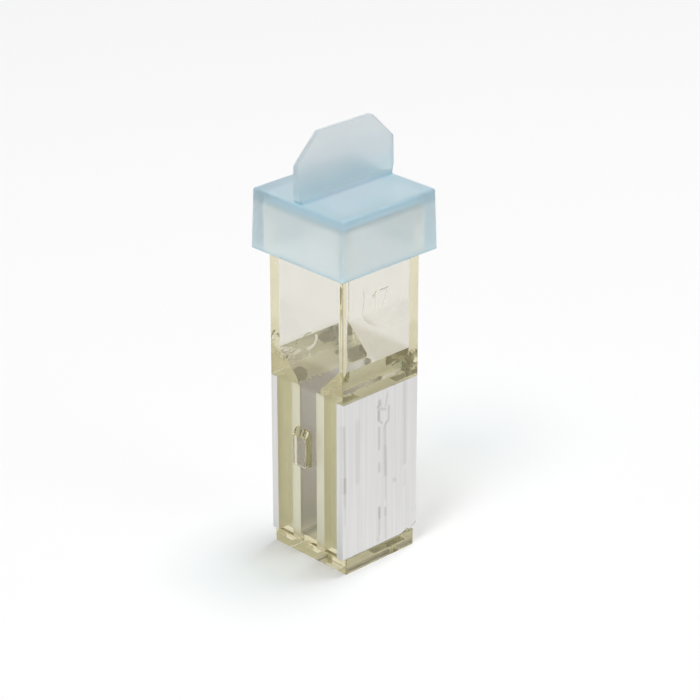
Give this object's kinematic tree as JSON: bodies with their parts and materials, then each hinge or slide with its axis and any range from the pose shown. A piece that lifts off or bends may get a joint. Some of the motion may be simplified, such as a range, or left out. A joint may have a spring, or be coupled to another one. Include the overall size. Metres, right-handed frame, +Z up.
{
  "type": "electroporation cuvette",
  "caption": "Clear square cuvette with a narrow slot between aluminium electrode plates, and a translucent push-on cap with a grip fin.",
  "frame": {"origin": "centre of the foot's underside", "axes": "+Z up along the tube; +X out of the right electrode's bare face; -Y out of the window with the key"},
  "size_m": [0.0156, 0.0156, 0.0549],
  "materials": {
    "clear_plastic": "clear, faintly yellow, polished",
    "electrode_metal": "bare extruded metal with fine upright drawing lines",
    "cap_plastic": "translucent pale blue, satin"
  },
  "bodies": {
    "cuvette": {"clear_body": "clear_plastic", "left_electrode": "electrode_metal", "right_electrode": "electrode_metal"},
    "cap": {"cap": "cap_plastic"}
  },
  "joints": [
    {"name": "cap_lift", "type": "slide", "parent": "cuvette", "child": "cap", "axis": [0, 0, 1], "range_m": [0, 0.02]}
  ]
}
